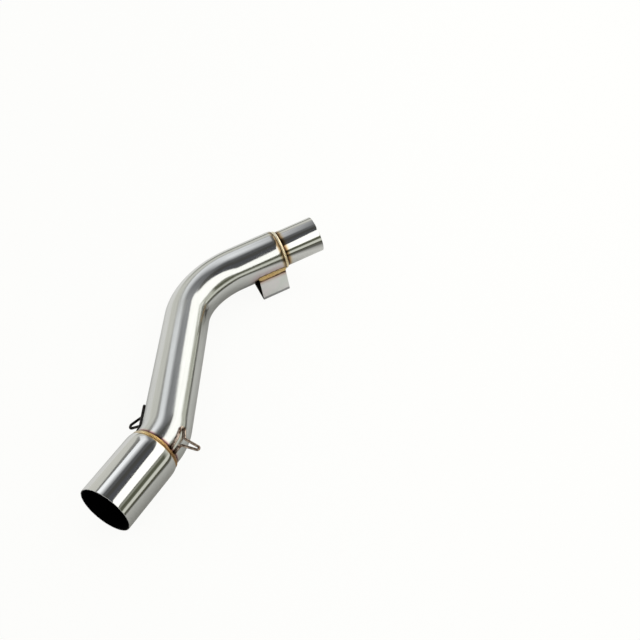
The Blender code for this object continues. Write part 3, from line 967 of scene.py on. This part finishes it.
def makeFloor():
    # white to the camera with a faint painted contact shadow; in the steel's reflections painted light
    # and shade: bright at its left, dark at its right, with a painted dark strip and painted shadow
    # under the pipe
    bm = bmesh.new()
    bmesh.ops.create_grid(bm, x_segments=1, y_segments=1, size=floor["size"] / 2)
    material, shade, shader = newMaterial("paleFloor")
    x, y = axes(shade, shade.node("TexCoord", {}, {}, 3))[:2]
    rays = shade.node("LightPath", {}, {}).socket.node.outputs
    camera, glossy, through = (Shade(shade.tree, rays[name]) for name in
                               ("Is Camera Ray", "Is Glossy Ray", "Is Transmission Ray"))
    plug(shade, shader, "Base Color", rgb(*floor["colour"]))
    plug(shade, shader, "Roughness", floor["rough"])
    plug(shade, shader, "Specular IOR Level", 0.0)
    glow = shade.node("Emission", {}, {"Color": rgb(*floor["glow"]), "Strength": 1.0})
    side = rightward(x, y).between(*floor["sides"])
    leftShine = y.between(*floor["leftSpan"], *floor["leftShine"])
    rightShine = y.between(*floor["rightSpan"], *floor["rightShine"])
    shine = leftShine + side * (rightShine - leftShine)
    # painted shadow: ambient occlusion darkens the floor near the pipe, a little to the camera and
    # more in reflections
    clear = shade.node("AmbientOcclusion", {"samples": 8}, {"Distance": floor["shadowReach"]}, 1)
    white = floor["cameraWhite"] - floor["cameraShadow"] + clear * floor["cameraShadow"]
    share = camera * white + (glossy + through) * shine * clear
    mixed = shade.node("MixShader", {}, {0: share, 1: Shade(shade.tree, shader.outputs[0]), 2: glow})
    # painted shade seen only in reflections: a dark strip at the right and a darker floor under the
    # pipe
    strip = (x + y * floor["stripSlope"]).between(*floor["strip"], 0.0, floor["stripDark"])
    dark = glossy * (strip + (1 - clear) * floor["footDark"])
    shadow = shade.node("Emission", {}, {"Color": rgb(*floor["darkColour"]),
                                         "Strength": floor["darkGlow"]})
    setSurface(shade, shade.node("MixShader", {}, {0: dark, 1: mixed, 2: shadow}))
    stageMesh("studioFloor", bm, material)


def panelMesh(corners, height):
    # a flat panel that faces down
    bm = bmesh.new()
    face = bm.faces.new([bm.verts.new((x, y, height)) for x, y in corners])
    face.normal_update()
    if face.normal.z > 0:
        bmesh.ops.reverse_faces(bm, faces=[face])
    return bm, face


def makeRightPanel():
    bm = panelMesh(studio["rightPanel"], studio["rightHeight"])[0]
    material, shade = glowMaterial("rightGlow")[:2]
    setGlow(shade, rgb(*studio["rightColour"]), studio["rightGlow"])
    stageMesh("rightPanel", bm, material).visible_camera = False


def makeLeftPanel():
    # a softbox in a dark frame, bright at its outer side and fading out over the pipe
    bm, face = panelMesh(studio["leftPanel"], studio["leftHeight"])
    rim = bmesh.ops.inset_region(bm, faces=[face], thickness=studio["leftFrame"],
                                 use_boundary=True, use_even_offset=True)["faces"]
    for item in rim:
        item.material_index = 1
    material, shade, (x, y, z) = glowMaterial("leftGlow")
    shifted = x + y.between(*studio["shiftSpan"], 0.0, studio["leftShift"])
    low = y.between(*studio["lowSpan"], *studio["leftLow"])
    fade = low + shifted.between(*studio["leftFade"]) * (1 - low)
    level = y.between(*studio["levelSpan"], 1.0, studio["leftFar"])
    setGlow(shade, (fade * level).mix(black, rgb(*studio["leftColour"])), studio["leftGlow"])
    dark, shade, (x, y, z) = glowMaterial("panelFrame")
    faint = x.between(*studio["frameFade"], studio["frameFaint"], 1.0)
    tone = y.between(*studio["frameSpan"], *studio["frameTone"])
    setGlow(shade, (faint * tone).mix(black, rgb(*studio["frameColour"])), 1.0)
    panel = stageMesh("leftPanel", bm, material)
    panel.data.materials.append(dark)
    panel.visible_camera = False


def makeLowCard():
    # a low glowing card beside the pipe, seen only in reflections, dark at its foot: a painted
    # reflection that draws the lines along the steel
    bm = bmesh.new()
    ends = [Vector((x, y, 0)) for x, y in studio["cardLine"]]
    edge = bm.edges.new([bm.verts.new(end) for end in ends])
    raised = bmesh.ops.extrude_edge_only(bm, edges=[edge])
    bmesh.ops.translate(bm, verts=newVerts(raised), vec=(0, 0, studio["cardHeight"]))
    material, shade, (x, y, z) = glowMaterial("cardTones")
    tone = z.between(*studio["cardEdge"]).mix(rgb(*studio["cardFoot"]), rgb(*studio["cardTop"]))
    setGlow(shade, tone, 1.0)
    card = stageMesh("lowCard", bm, material)
    card.visible_camera = card.visible_diffuse = card.visible_shadow = False


def makeWorld():
    # white to the camera; to the steel bands of light that change with height and side
    world = bpy.data.worlds.new("studio")
    world.use_nodes = True
    bpy.context.scene.world = world
    tree = world.node_tree
    shade = Shade(tree)
    x, y, z = axes(shade, shade.node("TexCoord", {}, {}, 0))
    side = rightward(x, y).between(*sky["sides"])
    left, right, forward = (z.ramp(*sky[name]) for name in ("left", "right", "forward"))
    gap = z.between(*sky["gapHeight"], 1.0, 0.0) * y.between(*sky["gapSpan"])
    left = gap.mix(left, rgb(*sky["gap"]))
    right = y.between(*sky["forwardSpan"]).mix(right, forward)
    left = (y.between(*sky["topSpan"]) * z.between(*sky["topHeight"])).mix(left, rgb(*sky["top"]))
    banded = side.mix(left, right)
    camera = shade.node("LightPath", {}, {}, 0)
    colour = camera.mix(banded, rgb(1, 1, 1))
    plug(shade, tree.nodes["Background"], "Color", colour)
    plug(shade, tree.nodes["Background"], "Strength", 1.0)


def makeCamera():
    lens = bpy.data.cameras.new("camera")
    lens.sensor_width = viewpoint["sensor"]
    lens.lens = viewpoint["focal"] / viewpoint["frame"] * viewpoint["sensor"]
    lens.clip_start, lens.clip_end = viewpoint["near"], viewpoint["far"]
    camera = bpy.data.objects.new("camera", lens)
    right = Vector(viewpoint["right"]).normalized()
    upward = -Vector(viewpoint["down"]).normalized()
    turn = Matrix((right, upward, right.cross(upward))).transposed().to_4x4()
    camera.matrix_world = laid @ Matrix.Translation(viewpoint["place"]) @ turn
    bpy.context.scene.collection.objects.link(camera)
    bpy.context.scene.camera = camera


makeFloor()
makeRightPanel()
makeLeftPanel()
makeLowCard()
makeWorld()
makeCamera()
bpy.context.scene.view_settings.view_transform = "Standard"
print("studio set")
